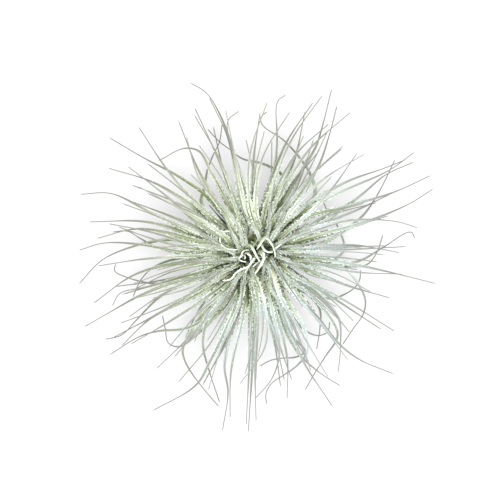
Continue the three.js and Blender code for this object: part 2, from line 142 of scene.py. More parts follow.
outerLeaves = [
    [0.5, (357, 25), (353.5, 50), (351, 76.5)],
    [0.6, (18, 25), (17, 50), (18.5, 68), (20.5, 79.5)],
    [0.4, (38, 25), (28, 44), (24.5, 64), (24.5, 81)],
    [0.1, (27, 23), (24, 45), (24.5, 66)],
    [0.2, (26, 28), (29.5, 50), (31.7, 64), (30.5, 77)],
    [0.8, (46, 27), (38.5, 50), (34.5, 63), (32.5, 74)],
    [0.5, (44, 25), (36, 47), (32.5, 66), (33, 79.5)],
    [0.4, (63, 27), (61, 52), (62.5, 60), (65.5, 77)],
    [0.7, (101, 26), (103, 50), (104.5, 61), (107, 71), (111, 77.5)],
    [0.3, (118.5, 25), (118.6, 40), (118.7, 49.5), (124, 54), (136.5, 57)],
    [0.8, (141, 25), (136.5, 50), (132.5, 73)],
    [0.3, (141.5, 26), (144.5, 52), (149.5, 72)],
    [0.6, (161, 25), (158, 48), (157, 66), (161, 78.2)],
    [0.2, (163, 25), (163.2, 48), (168.8, 71.5)],
    [0.1, (179.5, 25), (174.8, 48), (175.5, 64), (178.5, 74.5)],
    [0.5, (185, 25), (189, 51), (196.5, 71)],
    [0.6, (198.5, 25), (199, 50), (201.5, 67), (202.7, 78)],
    [0.3, (215, 25), (211, 51), (214, 68)],
    [0.6, (248, 25), (246.6, 48), (245.3, 60), (236.3, 78.8)],
    [0.3, (251, 25), (254, 48), (258.5, 59), (259.2, 75.7)],
    [0.7, (269, 25), (268, 50), (267.5, 74.4)],
    [0.2, (292, 25), (293, 44), (298.5, 56.5), (302.8, 65.5)],
    [0.6, (317, 25), (313, 49), (314.5, 61), (319.2, 76.6)],
]

middleLeaves = [
    [0.4, (8, 22), (5.5, 42), (1, 60)],
    [0.7, (26, 25), (19, 45), (13.5, 60), (9.5, 68.5)],
    [0.4, (69, 25), (63, 50), (56.5, 71.5)],
    [0.2, (73.5, 22), (68.5, 45), (61, 62.5)],
    [0.8, (78, 25), (73, 50), (67.5, 72)],
    [0.3, (80.5, 24), (75, 48), (69.5, 68)],
    [0.1, (75, 25), (79.3, 48), (82, 64.5), (79.5, 68)],
    [0.6, (99, 22), (102.5, 44), (102, 57), (96.8, 60.5)],
    [0.3, (105.5, 24), (103.5, 50), (106.5, 68.5)],
    [0.7, (152, 24), (146.5, 46), (145.3, 65)],
    [0.2, (166, 24), (167.3, 50), (174, 66.7)],
    [0.6, (172, 22), (167.7, 45), (168, 62.7)],
    [0.8, (180.5, 25), (182.2, 48), (184, 66)],
    [0.3, (197, 24), (196.3, 48), (195.8, 59), (199.5, 63.5)],
    [0.6, (203, 22), (203, 43), (206, 59)],
    [0.5, (221, 24), (217.6, 45), (215.4, 64)],
    [0.7, (233, 22), (230.8, 44), (228.8, 63)],
    [0.4, (258, 25), (258, 50), (261, 69)],
    [0.7, (265.5, 25), (266.6, 50), (266.7, 71)],
    [0.3, (271, 24), (269.5, 48), (270, 69.5)],
    [0.5, (287, 22), (283.7, 42), (277.5, 52), (269.8, 60)],
    [0.2, (289.5, 22), (286.8, 45), (282.2, 61.5)],
    [0.5, (331, 22), (323, 43), (314, 51), (305, 60)],
]

leftCrownLeaves = [
    [0.5, (127.5, 20), (126.5, 40), (120.5, 57)],
    [0.9, (148, 18), (148.7, 38), (149.8, 56.5)],
    [0.3, (202, 18), (201.5, 38), (199.5, 54.5)],
    [0.5, (250.5, 20), (249.3, 41), (250.5, 59.3)],
    [0.8, (272, 18), (271, 36), (270, 52)],
    [0.2, (279, 18), (276, 38), (263, 54)],
]

rightCrownLeaves = [
    [0.5, (52, 20), (48.5, 42), (43, 61.5)],
    [0.3, (57.5, 20), (54.8, 42), (51.5, 58)],
    [0.4, (91, 20), (86, 41), (76.8, 61)],
    [0.6, (97, 22), (93, 43), (85.8, 63.6)],
    [0.2, (101.5, 20), (102, 42), (101.8, 61.4)],
    [0.9, (332, 17), (330.5, 33), (325.9, 49)],
    [0.3, (315, 20), (313, 40), (311.2, 58)],
    [0.6, (300.5, 20), (300.3, 40), (300.5, 59)],
]

# The young leaves of each heart: width at the base, then the points that each runs through.
leftHeartLeaves = [
    [1, (-4.6, 0.4, 28), (-6.4, 4.2, 37), (-8.4, 7.4, 43), (-10.6, 9.8, 46.5), (-13.2, 10, 48.5),
     (-14.9, 7.8, 49), (-14.7, 4.8, 49), (-12.8, 2.9, 48.5), (-10, 2.3, 48), (-7.3, 2.2, 47.5)],
    [1.6, (-3.4, -1.6, 28), (-1.8, -1.2, 37), (-0.4, -1.4, 43), (-1.6, -2.8, 45), (-3, -5, 46),
     (-5.8, -6, 46.5), (-8.6, -7.8, 47), (-10, -9.8, 47), (-12, -10.6, 47), (-14.2, -10.6, 46.5)],
    [1.5, (-4, -1, 28), (-3.2, 1.4, 37), (-3.7, 2.2, 42), (-5.7, 1.4, 44), (-6.3, -0.4, 44),
     (-7.2, -1.5, 43.5), (-6, -2.5, 43), (-3.9, -2.9, 42.5)],
    [1.7, (-4.6, -0.6, 28), (-4.8, 0.4, 36), (-3.8, 0.9, 41.5), (-2.3, -0.4, 43), (-2, -2.4, 43),
     (-0.8, -3.3, 42.5)],
    [1.6, (-3.4, -1.8, 28), (-3.6, -3.8, 36), (-3.2, -5.4, 41), (-4.6, -7.4, 43)],
    [1.7, (-3.6, -0.4, 28), (-3.6, 2.4, 37), (-2.6, 4.3, 44.5), (-1.2, 2.5, 47.8), (0.2, -0.2, 47.8),
     (1.4, -2.3, 46.6), (2, -3.3, 45.4)],
    [1.5, (-4.4, -1.4, 28), (-5.6, -1, 35), (-5.4, 0, 39), (-4.6, -0.8, 41), (-4.8, -1.8, 41)],
]
rightHeartLeaves = [
    [2.4, (3.2, 1.2, 28), (1.6, 2, 37), (1.9, 1.4, 43.5), (2.9, 0.2, 46.8), (3.1, -1.6, 48),
     (2.2, -3.4, 48.3), (0.8, -5.9, 48.4), (-0.5, -7.9, 48)],
    [2, (4.4, 3, 28), (4.2, 6, 37), (4, 7.5, 43), (5.4, 6.4, 45), (6.8, 4.3, 45), (7.6, 2.4, 44),
     (8, 0.6, 42.6), (8, -1, 41)],
    [1.8, (4.6, 2, 28), (6.2, 2.2, 36), (7.8, 2.5, 41.5), (9.1, 3.4, 43), (10.6, 4.7, 43.8)],
    [1.6, (3.8, 1.6, 28), (4.4, 0, 36), (3.2, -1.6, 42), (0.4, -3.4, 44.6), (-1.4, -5, 45.6)],
    [2, (3.6, 2.4, 28), (5, 6, 37), (4.4, 7.8, 43), (2.6, 5.9, 46.4), (0.9, 3.4, 46.2), (0.3, 2.2, 44.6)],
    [1.5, (3.8, 3.2, 28), (2.8, 4.4, 37), (2.4, 3.9, 43), (3.6, 2.1, 44.8), (5.3, 1.2, 44.4),
     (7.2, 1.3, 43.4)],
]

# Leaves between those, by the golden angle. start and sweep: the degrees that they stand in.
# reach: how long they are.
fill = {
    "lower": {"count": 5, "start": 60, "sweep": 360, "reach": (52, 66), "seed": 11},
    "outer": {"count": 7, "start": 20, "sweep": 360, "reach": (58, 72), "seed": 23},
    "middle": {"count": 9, "start": 40, "sweep": 360, "reach": (50, 62), "seed": 37},
    "left": {"count": 8, "start": 125, "sweep": 155, "reach": (36, 54), "seed": 41},
    "right": {"count": 8, "start": -56, "sweep": 157, "reach": (36, 54), "seed": 53},
    "leftInner": {"count": 6, "start": 130, "sweep": 145, "reach": (19, 34), "seed": 61},
    "rightInner": {"count": 6, "start": -50, "sweep": 145, "reach": (19, 34), "seed": 73},
    "lowerBracts": {"count": 12, "start": 0, "sweep": 360, "reach": (19, 30), "seed": 83},
    "outerBracts": {"count": 11, "start": 14, "sweep": 360, "reach": (17, 28), "seed": 89},
    "middleBracts": {"count": 10, "start": 27, "sweep": 360, "reach": (16, 26), "seed": 91},
    "outerFine": {"count": 9, "start": 8, "sweep": 360, "reach": (50, 68), "seed": 97},
    "middleFine": {"count": 14, "start": 3, "sweep": 360, "reach": (46, 64), "seed": 101},
    "leftFine": {"count": 8, "start": 118, "sweep": 170, "reach": (36, 54), "seed": 113},
    "rightFine": {"count": 8, "start": -62, "sweep": 170, "reach": (36, 54), "seed": 127},
    "leftYoung": {"count": 9, "start": 92, "sweep": 223, "reach": (13, 24), "seed": 131},
    "rightYoung": {"count": 9, "start": -88, "sweep": 223, "reach": (13, 24), "seed": 139},
}
fillScatter = {"azimuth": 6, "bow": 8, "sway": 10}  # degrees
drawFactor, drawPrime = 16807, 2147483647


def polar(azimuth, reach, height=0):
    return Vector((reach * cos(radians(azimuth)), reach * sin(radians(azimuth)), height))


# The height on the cubic through a whorl's four heights.
def heightAt(heights, distance):
    total = 0
    for i, value in enumerate(heights):
        for j, station in enumerate(heightStations):
            if i != j:
                value *= (distance - station) / (heightStations[i] - station)
        total += value
    return total


# A centripetal curve through the points, with so many steps from each to the next.
def smoothPath(points, perStretch):
    ends = [points[0] * 2 - points[1], *points, points[-1] * 2 - points[-2]]
    path = []
    for a, b, c, d in zip(ends, ends[1:], ends[2:], ends[3:]):
        before, between, after = [max((q - p).length, 1e-4) ** 0.5 for p, q in ((a, b), (b, c), (c, d))]
        leaving = ((b - a) / before - (c - a) / (before + between) + (c - b) / between) * between
        arriving = ((c - b) / between - (d - b) / (between + after) + (d - c) / after) * between
        for step in range(perStretch):
            t = step / perStretch
            path.append(b + leaving * t + (c * 3 - b * 3 - leaving * 2 - arriving) * t ** 2
                        + (b * 2 - c * 2 + leaving + arriving) * t ** 3)
    return path + [points[-1]]


# Repeatable draws, the same as the frame's, so that each leaf drawn there has the same place here.
def fillRows(values):
    state = values["seed"]

    def draw():
        nonlocal state
        state = state * drawFactor % drawPrime
        return state / drawPrime

    rows = []
    low, high = values["reach"]
    for i in range(values["count"]):
        azimuth = values["start"] + (i * goldenAngle % 360) / 360 * values["sweep"]
        azimuth += fillScatter["azimuth"] * (draw() - 0.5)
        length = low + (high - low) * draw()
        bow = fillScatter["bow"] * (draw() - 0.5)
        sway = fillScatter["sway"] * (draw() - 0.5)
        lift = draw()
        over = [(azimuth, length / 3), (azimuth + bow, length * 2 / 3), (azimuth + bow + sway, length)]
        rows.append([lift, *over])
    return rows


# How far a place on a leaf rises with its side of the plant.
def swellAt(place):
    opened = max(0, (place.xy.length - swell["start"]) / (swell["reach"] - swell["start"]))
    azimuth = atan2(place.y, place.x)
    raised = sum(share * cos(turns * (azimuth - radians(crest))) for turns, crest, share in swell["waves"])
    risen = swell["height"] * (raised - swell["sunk"]) * opened ** swell["curve"]
    return risen * min(1, place.z / swell["fullAt"])


rightCrown = polar(crowns["direction"], crowns["offset"])
leftCrown = -rightCrown


# One blade, which is bent to each leaf's path.
blade = {
    "width": 3.8,
    "sheathExtra": 2.4,  # how much wider the base that hugs the stem is
    "sheathShare": 0.06,
    "taper": 1.25,
    "tipWidth": 0.42,
    "channel": 0.26,  # depth of the channel beside the width
    "channelStart": 0.55,  # how much of that it has in the sheath
    "channelRise": 4,  # how fast it gets to the full depth
    "channelCurve": 1.5,
    "keel": 0.35,  # under the midrib, beside half the thickness
    "thickness": 0.17,
    "thinnest": 0.3,
    "sides": 12,
    "rings": 40,
    "twist": 26,  # degrees at the tip, at most, either way
    "widthScatter": (0.92, 1.06),
    "fuzz": {  # how thickly scales stand on it
        "midrib": 0.3,
        "edge": 1.5,  # so much more at the edge
        "edgeStart": 0.6,  # of the way from the midrib to the edge
        "edgeRise": 3,
        "start": 1.7,  # less thinning times the share of the length, and between 0 and 1
        "thinning": 2.4,
    },
}


# A tube along Z from 0 to 1 with a point at the end. Each leaf is a copy of it.
def makeBladeTemplate():
    bm = bmesh.new()
    bmesh.ops.create_cone(bm, cap_ends=True, segments=blade["sides"], radius1=1, radius2=1, depth=1)
    bmesh.ops.translate(bm, verts=bm.verts, vec=(0, 0, 0.5))
    lengthwise = [e for e in bm.edges if abs(e.verts[0].co.z - e.verts[1].co.z) > 0.5]
    bmesh.ops.subdivide_edges(bm, edges=lengthwise, cuts=blade["rings"] - 1)
    end = [v for v in bm.verts if v.co.z > 1 - 0.5 / blade["rings"]]
    bmesh.ops.pointmerge(bm, verts=end, merge_co=(0, 0, 1))
    mesh = bpy.data.meshes.new("bladeTemplate")
    bm.to_mesh(mesh)
    bm.free()
    return mesh


bladeTemplate = makeBladeTemplate()


def newLeafBmesh():
    bm = bmesh.new()
    for name in ("along", "across", "under", "tint", "paintedShade", "fuzz"):
        bm.verts.layers.float.new(name)
    bm.verts.layers.float_vector.new("growth")
    return bm


# Width, channel depth and half thickness at a share of the length. Below 0 is the sheath round the stem.
def bladeSize(share, width):
    grown = max(0, share)
    sheath = blade["sheathExtra"] * max(0, 1 - grown / blade["sheathShare"]) ** 2
    across = max(blade["tipWidth"], width * (1 - grown) ** blade["taper"] + sheath * width / blade["width"])
    channel = blade["channel"] * across * min(1, blade["channelStart"] + blade["channelRise"] * grown)
    return across, channel, max(blade["thinnest"], blade["thickness"] * min(across, width)) / 2


def clamp(value):
    return max(0, min(1, value))


# Bends a new copy of the template along a path. size gives its width, channel and half thickness at a share.
def addBlade(bm, path, sideways, size, sheathLength, tint, twist):
    layers = bm.verts.layers
    names = ("along", "across", "under", "tint", "fuzz")
    along, across, under, tints, fuzz = [layers.float[name] for name in names]
    growth = layers.float_vector["growth"]
    reached = [0]
    for a, b in zip(path, path[1:]):
        reached.append(reached[-1] + (b - a).length)
    rings, cover = blade["rings"], blade["fuzz"]
    frames = []
    side = sideways.copy()
    for i in range(rings + 1):
        place = i * (len(path) - 1) / rings
        k = min(int(place), len(path) - 2)
        origin = path[k].lerp(path[k + 1], place - k)
        distance = reached[k] + (reached[k + 1] - reached[k]) * (place - k)
        forward = (path[k + 1] - path[k]).normalized()
        if 0 < k < len(path) - 1 and place - k < 0.5:
            forward = (path[k + 1] - path[k - 1]).normalized()
        side = (side - forward * side.dot(forward)).normalized()
        share = (distance - sheathLength) / (reached[-1] - sheathLength)
        turned = Quaternion(forward, radians(twist) * max(0, share)) @ side
        frames.append((origin, turned, forward.cross(turned), forward, share))
    before = len(bm.verts)
    bm.from_mesh(bladeTemplate)
    bm.verts.ensure_lookup_table()
    for v in bm.verts[before:]:
        x, y, z = v.co
        origin, turned, up, forward, share = frames[round(z * rings)]
        width, channel, half = size(share)
        if z > 1 - 0.5 / rings:
            width = channel = half = 0
        height = channel * abs(x) ** blade["channelCurve"] + y * half
        if y < 0:
            height -= blade["keel"] * half * (1 - abs(x)) ** 2
        spot = origin + turned * x * width / 2 + up * height
        v.co = spot * mm
        v[along] = share
        v[across] = x
        v[under] = 0.5 - y / 2
        v[tints] = tint
        edge = clamp((abs(x) - cover["edgeStart"]) * cover["edgeRise"])
        thinned = clamp(cover["start"] - cover["thinning"] * share)
        v[fuzz] = (cover["midrib"] + cover["edge"] * edge) * thinned
        v[growth] = forward


# The collars of sheaths, and how leaves leave them.
sheathing = {
    "collarShares": (0.58, 0.88, 0.8),  # its radius at the bottom, middle and top, beside its full one
    "collarSteps": 28,
    "marks": {"along": -0.1, "tint": 0.5, "under": 1},
    "rootShare": 0.62,  # of the collar's radius, where the leaf starts
    "rootLift": 0.1,  # above the collar's bottom
    "bendInset": 0.3,  # within the collar's radius, where it bends outwards
    "bendShare": 0.4,  # of the collar's height
    "clear": 1.2,  # outside the collar, from where it follows its own points
    "shift": 0.35,  # in or out, at most, so that sheaths differ
    "steps": (10, 3, 4),  # between its points, then which of them are kept, then between the kept ones
}


# A leaf's path, up the stem in its sheath and then out over its points, and the length of its sheath.
def whorlPath(whorl, row, centre, shift):
    lift, *over = row
    first = over[0][0]
    about = centre if whorl.get("aboutCrown") else Vector()
    points = [polar(first, whorl["rootRadius"], whorl["rootHeight"]) + centre]
    for azimuth, reach in over:
        spread = (lift - 0.5) * whorl["spread"] * min(1, reach / spreadReach)
        place = polar(azimuth, reach, heightAt(whorl["heights"], reach) + spread) + about
        points.append(place + Vector((0, 0, swellAt(place))))
    bottom, top, outer = whorl["collar"]
    fine, keep, steps = sheathing["steps"]
    edge = outer + sheathing["clear"]
    free = [p for p in smoothPath(points, fine) if (p - centre).to_2d().length > edge]
    bend = sheathing["bendShare"]
    root = polar(first, outer * sheathing["rootShare"] + shift, bottom + sheathing["rootLift"]) + centre
    out = polar(first, outer - sheathing["bendInset"] + shift, bottom * (1 - bend) + top * bend) + centre
    last = [free[-1]] if (len(free) - 1) % keep else []
    path = smoothPath([root, out, *free[::keep], *last], steps)
    return path, (out - root).length + (free[0] - out).length


def addWhorl(bm, whorl, rows, centre, dice, scale=1):
    for row in rows:
        shift = dice.uniform(-sheathing["shift"], sheathing["shift"])
        path, sheathLength = whorlPath(whorl, row, centre, shift)
        twist = dice.uniform(-1, 1) * blade["twist"]
        width = blade["width"] * whorl["width"] * dice.uniform(*blade["widthScatter"]) * scale
        addBlade(bm, path, polar(row[1][0] + 90, 1), lambda share: bladeSize(share, width), sheathLength,
                 dice.random(), twist)


# Spins a profile of radii and heights round the upright line through centre, and returns the new vertices.
def spinProfile(bm, profile, centre, steps, closed):
    before = len(bm.verts)
    corners = [bm.verts.new((centre + Vector((x, 0, z))) * mm) for x, z in profile]
    following = corners[1:] + (corners[:1] if closed else [])
    edges = [bm.edges.new(pair) for pair in zip(corners, following)]
    bmesh.ops.spin(bm, geom=corners + edges, cent=centre * mm, axis=(0, 0, 1), angle=2 * pi, steps=steps,
                   use_merge=True)
    bm.verts.ensure_lookup_table()
    return bm.verts[before:]


# A ring of leaf tissue, such as the sheaths that a whorl grows from.
def addRing(bm, profile, centre):
    ring = spinProfile(bm, profile, centre, sheathing["collarSteps"], True)
    for v in ring:
        for name, value in sheathing["marks"].items():
            v[bm.verts.layers.float[name]] = value
    bmesh.ops.recalc_face_normals(bm, faces=[f for f in bm.faces if f.verts[0] in set(ring)])


def addCollar(bm, collar, inner, centre):
    bottom, top, outer = collar
    low, middle, high = [outer * share for share in sheathing["collarShares"]]
    profile = [(inner, bottom), (low, bottom), (middle, (bottom + top) / 2), (high, top), (inner, top)]
    addRing(bm, profile, centre)


def finishMesh(bm, name, material):
    mesh = bpy.data.meshes.new(name)
    bm.to_mesh(mesh)
    bm.free()
    mesh.shade_smooth()
    piece = bpy.data.objects.new(name, mesh)
    bpy.context.scene.collection.objects.link(piece)
    mesh.materials.append(material)
    return piece


# Adds a node: its settings first, then the numbers or links of its sockets.
def addNode(tree, kind, settings, inputs):
    made = tree.nodes.new(kind)
    for key, value in settings.items():
        setattr(made, key, value)
    for key, value in inputs.items():
        if isinstance(value, Value):
            value = value.socket
        if isinstance(value, bpy.types.NodeSocket):
            tree.links.new(value, made.inputs[key])
        else:
            made.inputs[key].default_value = value
    return made


# Shader maths: a Value wraps a socket, and an expression on Values adds its Math nodes.
class Value:
    def __init__(self, shader, socket):
        self.shader = shader
        self.socket = socket

    def maths(self, operation, *others):
        return self.shader.node("ShaderNodeMath", {"operation": operation}, dict(enumerate((self, *others))))

    def __add__(self, other):
        return self.maths("ADD", other)

    def __sub__(self, other):
        return self.maths("SUBTRACT", other)

    def __mul__(self, other):
        return self.maths("MULTIPLY", other)

    def __rsub__(self, other):
        return self.shader.node("ShaderNodeMath", {"operation": "SUBTRACT"}, {0: other, 1: self})

    __radd__ = __add__
    __rmul__ = __mul__

    def size(self):
        return self.maths("ABSOLUTE")

    # 0 below low, 1 above high, and smooth between.
    def ramp(self, low, high):
        return self.shader.node("ShaderNodeMapRange", {"interpolation_type": "SMOOTHSTEP"},
                                {"Value": self, "From Min": low, "From Max": high})


class Shader:
    def __init__(self, name):
        self.material = bpy.data.materials.new(name)
        self.material.use_nodes = True
        self.tree = self.material.node_tree
        self.tree.nodes.clear()

    def node(self, kind, settings=None, inputs=None, output=0):
        made = addNode(self.tree, kind, settings or {}, inputs or {})
        return Value(self, made.outputs[output] if made.outputs else None)

    def attribute(self, name):
        return self.node("ShaderNodeAttribute", {"attribute_name": name}, output="Fac")

    def objectPlace(self):
        return self.node("ShaderNodeTexCoord", output="Object")

    def noise(self, place, scale, detail=2, roughness=0.5):
        return self.node("ShaderNodeTexNoise", {}, {"Vector": place, "Scale": scale, "Detail": detail,
                                                    "Roughness": roughness})

    def mix(self, share, first, second):
        return self.node("ShaderNodeMix", {"data_type": "RGBA"}, {0: share, 6: first, 7: second}, 2)

    def bump(self, strength, distance, height):
        return self.node("ShaderNodeBump", {},
                         {"Strength": strength, "Distance": distance, "Height": height})

    def finish(self, inputs):
        surface = self.node("ShaderNodeBsdfPrincipled", {}, inputs)
        self.node("ShaderNodeOutputMaterial", {}, {"Surface": surface})
        return self.material


# A linear colour from the red, green and blue that a picture shows, 0 to 255.
def shown(*levels):
    linear = [((c / 255 + 0.055) / 1.055) ** 2.4 if c > 10 else c / 255 / 12.92 for c in levels]
    return (*linear, 1)


# The finish of the leaves.
leafFinish = {
    "olive": shown(134, 146, 86),
    "oliveDeep": shown(84, 100, 34),
    "shaded": shown(146, 164, 82),  # painted shade, under other leaves
    "gapShade": shown(26, 38, 3),  # painted shade, low down between the leaves
    "silver": shown(209, 211, 194),
    # painted light: the silver as the cool light shows it
    "silverCoolLit": shown(196, 209, 219),
    "silverBase": shown(241, 244, 217),
    "cream": shown(238, 241, 212),
    "edge": shown(242, 246, 236),
    "sheath": shown(150, 158, 112),
    "tip": shown(103, 101, 96),
    "coolLightWay": (0.75, -0.66, 0),  # painted light: the side of the plant toward the cool lamp is painted whiter and bluer
    "coolLightReach": 0.05,  # metres from the axis at which it is so
    "roughness": 0.72,
    "bump": 0.3,
    "bumpHeight": 0.0003,  # metres
    "bumpStreaks": 0.6,  # beside the grains
    "grainScale": 2600,
    "dotScale": 1100,
    "lineStretch": (3.4, 1.6, 60),  # across the blade, along it, and from leaf to leaf
    "cover": {  # what adds to the cover of scales or takes from it
        "streaks": 1.1,  # lines along the blade
        "leaf": 0.45,  # from leaf to leaf
        "rim": 0.75,
        # painted light: more scales on the side toward the cool lamp
        "coolLight": 0.2,
        "grains": 0.9,
        "dots": 0.25,
        "furry": 0.12,  # near the root
        "under": 0.1,  # less on the underside
        "paintedShade": 0.6,  # painted shade: fewer scales where other leaves shade it
    },
    "ramps": {  # where each thing sets in and where it is full
        "furry": (0.08, 0.42),  # these three along the blade
        "sheath": (-0.03, 0.05),
        "tip": (0.25, 0.8),
        "rim": (0.45, 0.85),  # these two from the midrib to the edge
        "toothShade": (0.56, 0.75),
        "under": (0.6, 1),
        "shadeScales": (0.35, 0.8),  # these three with how much painted shade it has
        "shaded": (0.12, 0.5),
        "gapShade": (0.38, 0.76),
        "dots": (0.44, 0.56),  # these two in their noise
        "streaks": (0.38, 0.62),
    },
    "shares": {  # how far each colour covers those under it
        "silverBase": 0.9,
        "silverCoolLit": 0.25,
        "shaded": 0.35,
        "gapShade": 0.95,
        "toothShade": 0.9,
        "underTeeth": 0.75,  # how much fainter the dark teeth, painted shade, are on the underside
    },
}


# cover: how much of the blade the scales hide, from 0 to 1. toothed: where along it the dark teeth, painted
# shade seen between the edge scales, thin out.
def leafMaterial(name, cover, grey, toothed, cream):
    shader = Shader(name)
    place = shader.objectPlace()
    marks = ("along", "across", "under", "tint", "paintedShade")
    along, across, under, tint, paintedShade = [shader.attribute(mark) for mark in marks]
    paint = leafFinish
    more, ramps, share = paint["cover"], paint["ramps"], paint["shares"]
    aside = across.size()
    rim = aside.ramp(*ramps["rim"])
    # Painted light: the side of the plant toward the cool lamp gets more scales and a bluer silver.
    coolLight = shader.node("ShaderNodeVectorMath", {"operation": "DOT_PRODUCT"}, {0: place, 1: paint["coolLightWay"]},
                       "Value").ramp(-paint["coolLightReach"], paint["coolLightReach"])
    grains = shader.noise(place, paint["grainScale"], 1, 0.6)
    dots = shader.noise(place, paint["dotScale"], 0).ramp(*ramps["dots"])
    furry = 1 - along.ramp(*ramps["furry"])
    wide, long, apart = paint["lineStretch"]
    lines = shader.node("ShaderNodeCombineXYZ", {}, {0: across * wide, 1: along * long, 2: tint * apart})
    streaks = shader.noise(lines, 2).ramp(*ramps["streaks"])
    scales = cover + (streaks - 0.5) * more["streaks"] + (tint - 0.5) * more["leaf"] + rim * more["rim"]
    scales = scales + coolLight * more["coolLight"] + (grains - 0.4) * furry * more["grains"]
    scales = scales + (dots - 0.4) * furry * more["dots"] - under * more["under"]
    # Painted shade: fewer scales where other leaves shade the blade.
    scales = scales - paintedShade.ramp(*ramps["shadeScales"]) * more["paintedShade"] + furry * more["furry"]
    # The teeth: dark dots by the edges. The fringe of scales is real, the dark between its teeth is painted
    # shade.
    toothShade = aside.ramp(*ramps["toothShade"]) * (1 - dots) * (1 - along.ramp(*toothed))
    toothShade = toothShade * (1 - under.ramp(*ramps["under"]) * share["underTeeth"])
    olive = shader.mix(streaks, paint["oliveDeep"], paint["olive"])
    silver = shader.mix(coolLight, paint["silver"], paint["silverCoolLit"])
    silver = shader.mix(furry * share["silverBase"], silver, paint["silverBase"])
    silver = shader.mix(rim, silver, paint["edge"])
    colour = shader.mix(scales.ramp(0, 1), olive, silver)
    layers = [
        (coolLight * (1 - furry) * share["silverCoolLit"], "silverCoolLit"),
        (cream, "cream"),
        (1 - along.ramp(*ramps["sheath"]), "sheath"),
        # Painted shade: greener and darker where other leaves shade it.
        (paintedShade.ramp(*ramps["shaded"]) * share["shaded"], "shaded"),
        # Painted shade: near black low down between the leaves.
        (paintedShade.ramp(*ramps["gapShade"]) * share["gapShade"], "gapShade"),
        (toothShade * share["toothShade"], "gapShade"),
        (along.ramp(*ramps["tip"]) * grey, "tip"),
    ]
    for amount, over in layers:
        colour = shader.mix(amount, colour, paint[over])
    bump = shader.bump(paint["bump"], paint["bumpHeight"], grains + streaks * paint["bumpStreaks"])
    return shader.finish({"Base Color": colour, "Roughness": paint["roughness"], "Normal": bump})


# Scales: fine hairs that give the silver look.
hairs = {
    "length": 0.85,
    "lengthScatter": (0.55, 1.25),
    "radius": 0.1,
    "sides": 3,
    "perSquareMm": 2,
    "lean": 0.7,  # how far they lean to the leaf's tip
    "scatter": 0.7,  # how far they stray from that
    "bright": shown(247, 250, 242),
    "dull": shown(226, 232, 214),
    "toneScale": 900,
    "shaded": (0.18, 0.55),  # between which amounts of painted shade they turn green
    "roughness": 0.8,
}


def hairMaterial():
    shader = Shader("whiteScales")
    tone = shader.noise(shader.objectPlace(), hairs["toneScale"], 1)
    colour = shader.mix(tone.ramp(0.3, 0.7), hairs["dull"], hairs["bright"])
    # Painted shade: the hairs turn olive where other leaves shade them.
    colour = shader.mix(shader.attribute("paintedShade").ramp(*hairs["shaded"]), colour, leafFinish["oliveDeep"])
    return shader.finish({"Base Color": colour, "Roughness": hairs["roughness"]})


# Grows closed hairs over a piece and returns them as a piece of their own.
def growHairs(piece, name, material, seed):
    tree = bpy.data.node_groups.new(name, "GeometryNodeTree")
    for way in ("INPUT", "OUTPUT"):
        tree.interface.new_socket("Geometry", in_out=way, socket_type="NodeSocketGeometry")

    def node(kind, settings=None, inputs=None):
        return addNode(tree, kind, settings or {}, inputs or {})

    def marked(name, kind):
        return node("GeometryNodeInputNamedAttribute", {"data_type": kind}, {"Name": name}).outputs[0]

    def vectors(first, second):
        return node("ShaderNodeVectorMath", {}, {0: first, 1: second}).outputs[0]

    source = node("NodeGroupInput")
    density = node("ShaderNodeMath", {"operation": "MULTIPLY"},
                   {0: marked("fuzz", "FLOAT"), 1: hairs["perSquareMm"] / mm ** 2})
    points = node("GeometryNodeDistributePointsOnFaces", {},
                  {"Mesh": source.outputs[0], "Density": density.outputs[0], "Seed": seed})
    leaning = node("ShaderNodeVectorMath", {"operation": "SCALE"},
                   {"Vector": marked("growth", "FLOAT_VECTOR"), "Scale": hairs["lean"]})
    stray = node("FunctionNodeRandomValue", {"data_type": "FLOAT_VECTOR"},
                 {0: (-hairs["scatter"],) * 3, 1: (hairs["scatter"],) * 3, "Seed": seed + 1})
    direction = vectors(vectors(points.outputs["Normal"], leaning.outputs[0]), stray.outputs[0])
    turned = node("FunctionNodeAlignRotationToVector", {"axis": "Z"}, {"Vector": direction})
    cone = node("GeometryNodeMeshCone", {"fill_type": "TRIANGLE_FAN"},
                {"Vertices": hairs["sides"], "Radius Top": 0, "Radius Bottom": hairs["radius"] * mm,
                 "Depth": hairs["length"] * mm})
    shortest, longest = hairs["lengthScatter"]
    lengths = node("FunctionNodeRandomValue", {"data_type": "FLOAT"},
                   {2: shortest, 3: longest, "Seed": seed + 2})
    grown = node("GeometryNodeInstanceOnPoints", {},
                 {"Points": points.outputs["Points"], "Instance": cone.outputs[0],
                  "Rotation": turned.outputs[0], "Scale": lengths.outputs[1]})
    real = node("GeometryNodeRealizeInstances", {}, {0: grown.outputs[0]})
    node("NodeGroupOutput", {}, {0: real.outputs[0]})
    modifier = piece.modifiers.new(name, "NODES")
    modifier.node_group = tree
    mesh = bpy.data.meshes.new_from_object(piece.evaluated_get(bpy.context.evaluated_depsgraph_get()))
    piece.modifiers.remove(modifier)
    bpy.data.node_groups.remove(tree)
    coat = bpy.data.objects.new(name, mesh)
    mesh.name = name
    mesh.materials.clear()
    mesh.materials.append(material)
    bpy.context.scene.collection.objects.link(coat)
    return coat


